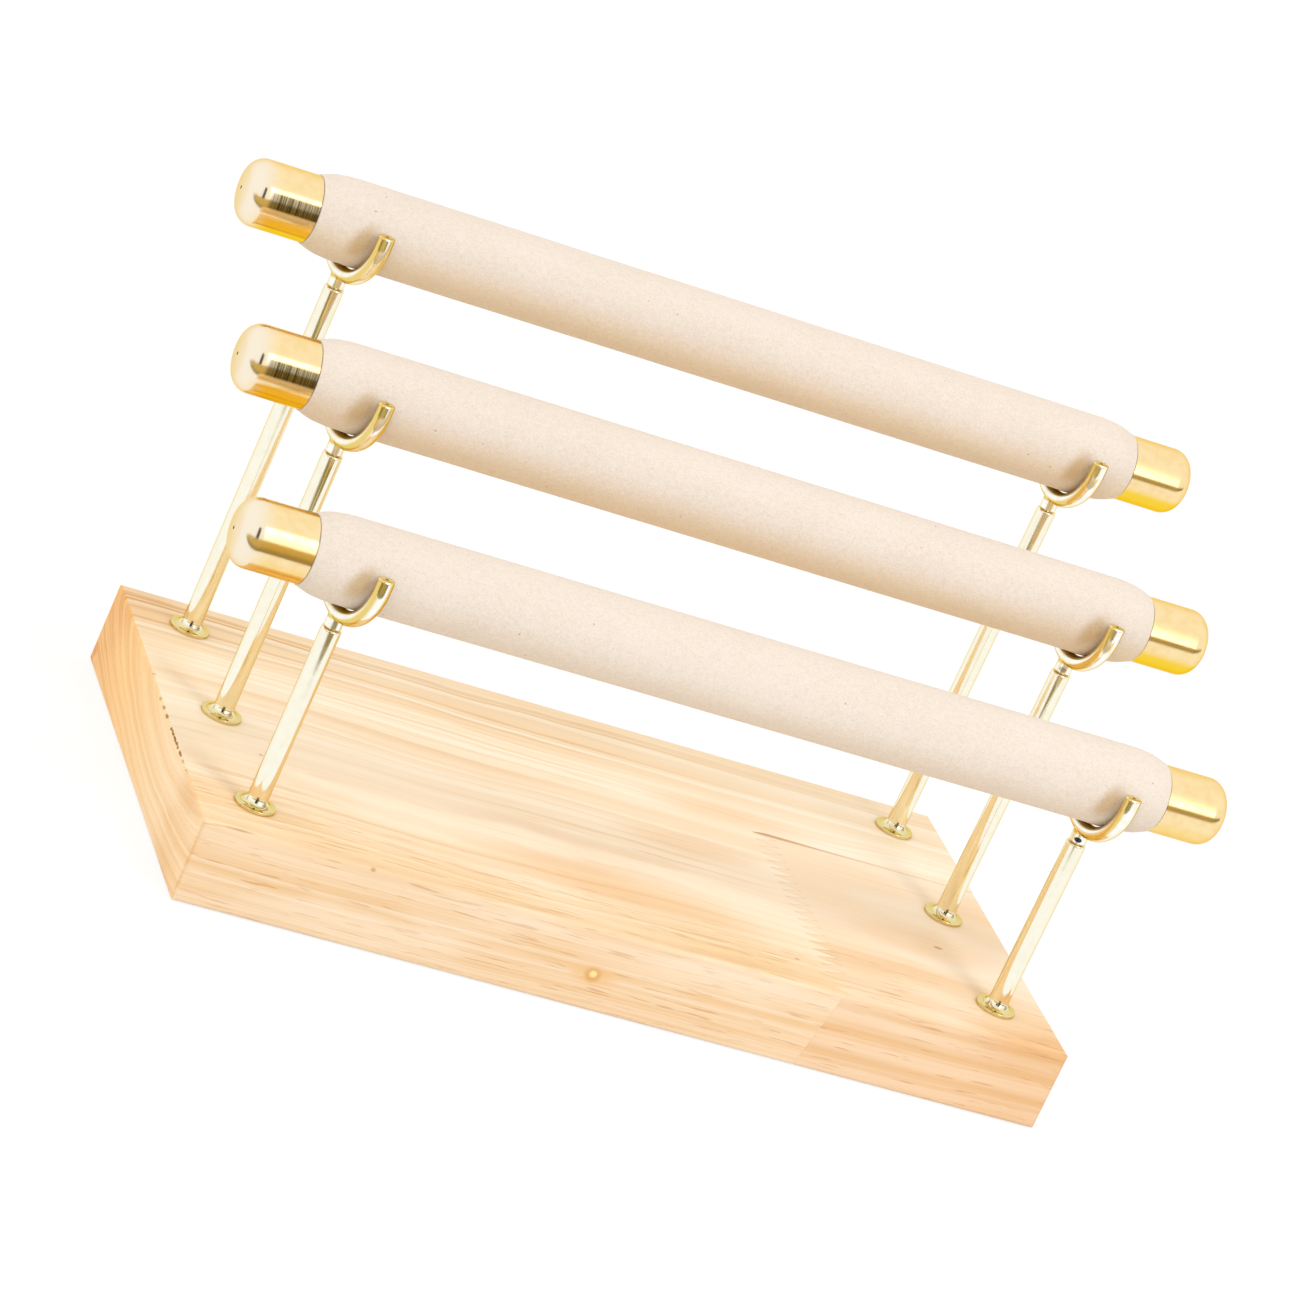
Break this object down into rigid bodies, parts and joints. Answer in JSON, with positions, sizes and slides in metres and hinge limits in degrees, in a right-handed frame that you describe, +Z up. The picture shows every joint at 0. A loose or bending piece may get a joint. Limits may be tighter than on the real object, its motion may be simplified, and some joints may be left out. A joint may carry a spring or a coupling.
{
  "type": "three-tier jewelry display stand",
  "caption": "Free-standing stepped bracelet stand: padded suede bars with metal end caps rest in U cradles on metal posts above a flat wooden board.",
  "frame": {"origin": "middle of the board's underside, on the surface that the stand rests on", "axes": "+X along the bars to the right, +Y towards the back and tallest row, +Z up"},
  "size_m": [0.341, 0.163, 0.1892],
  "materials": {
    "board_wood": "pale finger-jointed wood, fine sanded, clear matte",
    "post_gold": "polished pale gold plating",
    "cradle_gold": "polished pale gold plating",
    "cap_gold": "polished warm gold plating with fine turned rings",
    "suede_cloth": "cream brushed suede cloth",
    "padding_foam": "soft foam",
    "dowel_wood": "plain turned dowel",
    "screw_steel": "zinc-plated steel"
  },
  "bodies": {
    "root": {"base_board": "board_wood", "front_left_post": "post_gold", "front_right_post": "post_gold", "middle_left_post": "post_gold", "middle_right_post": "post_gold", "back_left_post": "post_gold", "back_right_post": "post_gold", "post_screws": "screw_steel", "screw_washers": "screw_steel", "front_left_cradle": "cradle_gold", "front_right_cradle": "cradle_gold", "middle_left_cradle": "cradle_gold", "middle_right_cradle": "cradle_gold", "back_left_cradle": "cradle_gold", "back_right_cradle": "cradle_gold", "front_dowel": "dowel_wood", "middle_dowel": "dowel_wood", "back_dowel": "dowel_wood", "front_padding": "padding_foam", "middle_padding": "padding_foam", "back_padding": "padding_foam", "front_cover": "suede_cloth", "middle_cover": "suede_cloth", "back_cover": "suede_cloth", "front_left_cap": "cap_gold", "front_right_cap": "cap_gold", "middle_left_cap": "cap_gold", "middle_right_cap": "cap_gold", "back_left_cap": "cap_gold", "back_right_cap": "cap_gold"}
  },
  "joints": []
}
